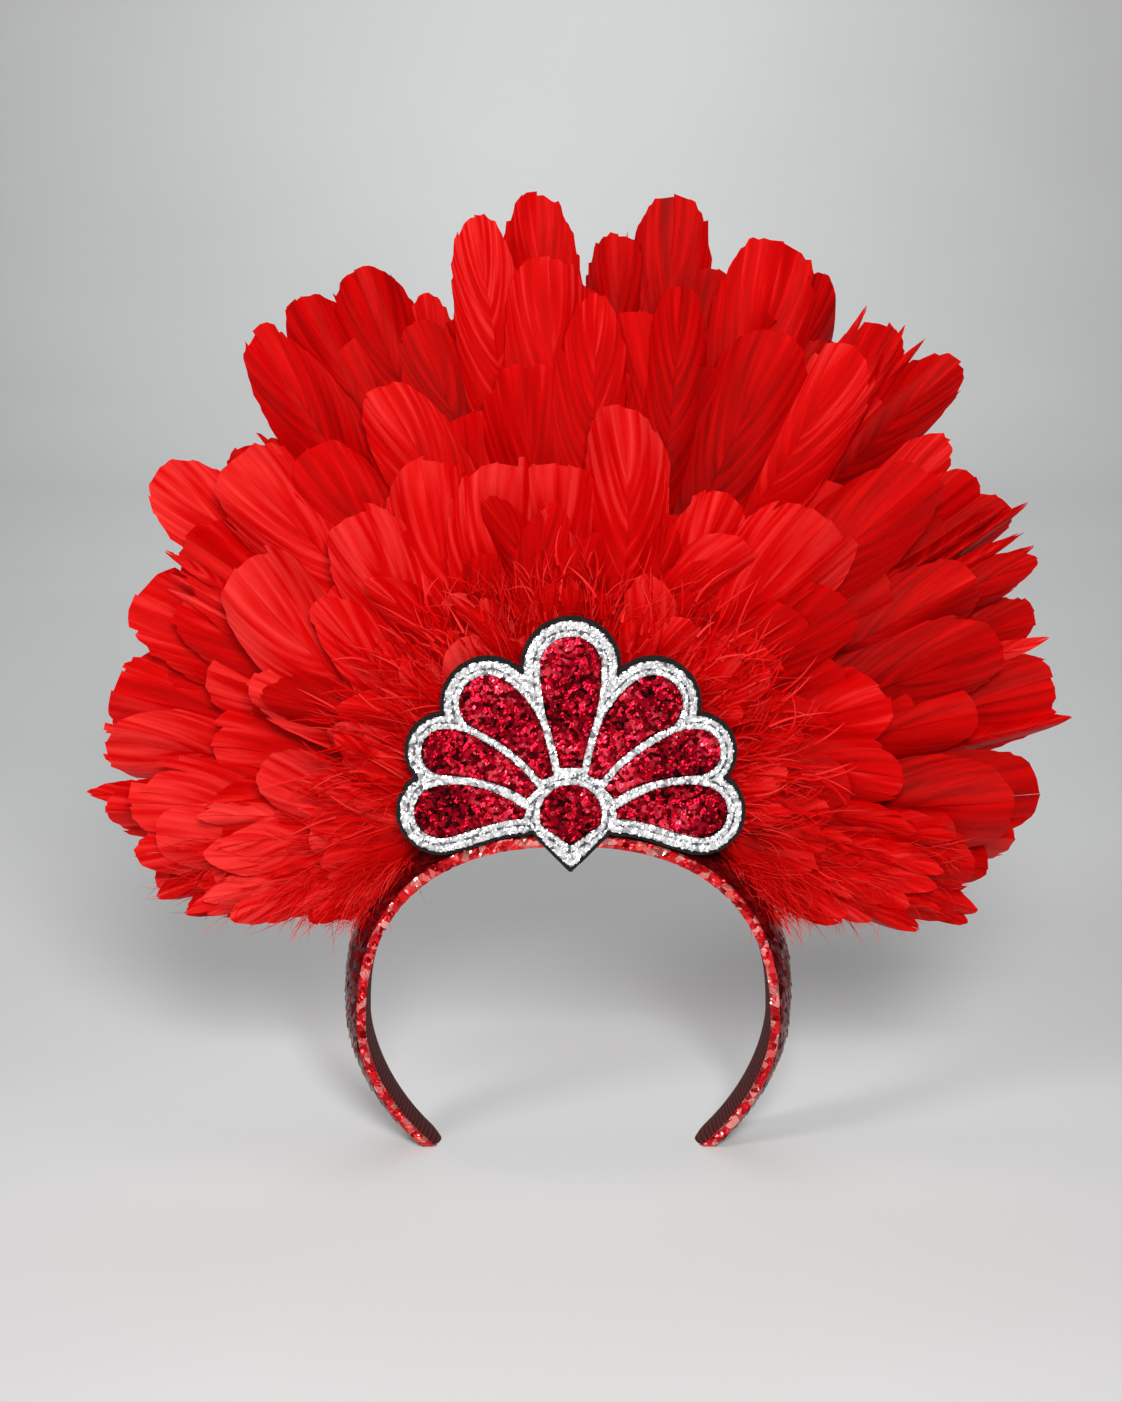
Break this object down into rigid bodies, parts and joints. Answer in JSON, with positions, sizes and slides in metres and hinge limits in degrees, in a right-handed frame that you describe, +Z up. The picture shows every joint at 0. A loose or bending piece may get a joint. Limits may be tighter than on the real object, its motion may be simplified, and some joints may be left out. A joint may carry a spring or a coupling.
{
  "type": "feather headband",
  "caption": "Padded sequin headband with a tall fan of dyed feathers on its crown and a flat petal emblem with a silver border in front.",
  "frame": {"origin": "on the floor under the middle of the bounding box, midway between the band's two tips", "axes": "+X to the right as seen from the front, +Y to the back, +Z up, the emblem facing -Y"},
  "size_m": [0.3267, 0.0538, 0.318],
  "materials": {
    "maroon_sequin_cloth": "cloth covered with dark red sequins",
    "ribbed_lining": "matt ribbed maroon cloth",
    "red_edge_sequins": "bright red faceted sequins",
    "black_felt": "matt black felt",
    "silver_sequins": "silver foil sequins",
    "red_glitter": "deep red glitter",
    "red_feather": "dyed red feather"
  },
  "bodies": {
    "root": {"band_cover": "maroon_sequin_cloth", "band_lining": "ribbed_lining", "front_edge_strip": "red_edge_sequins", "emblem_felt": "black_felt", "emblem_silver_border": "silver_sequins", "hub_drop": "red_glitter", "petal_top": "red_glitter", "petal_upper_left": "red_glitter", "petal_upper_right": "red_glitter", "petal_middle_left": "red_glitter", "petal_middle_right": "red_glitter", "petal_lower_left": "red_glitter", "petal_lower_right": "red_glitter", "feathers_back_cover": "red_feather", "feathers_back_row": "red_feather", "feathers_second_row": "red_feather", "feathers_front_row": "red_feather", "feathers_collar": "red_feather", "side_plumes_left": "red_feather", "side_plumes_right": "red_feather"}
  },
  "joints": []
}
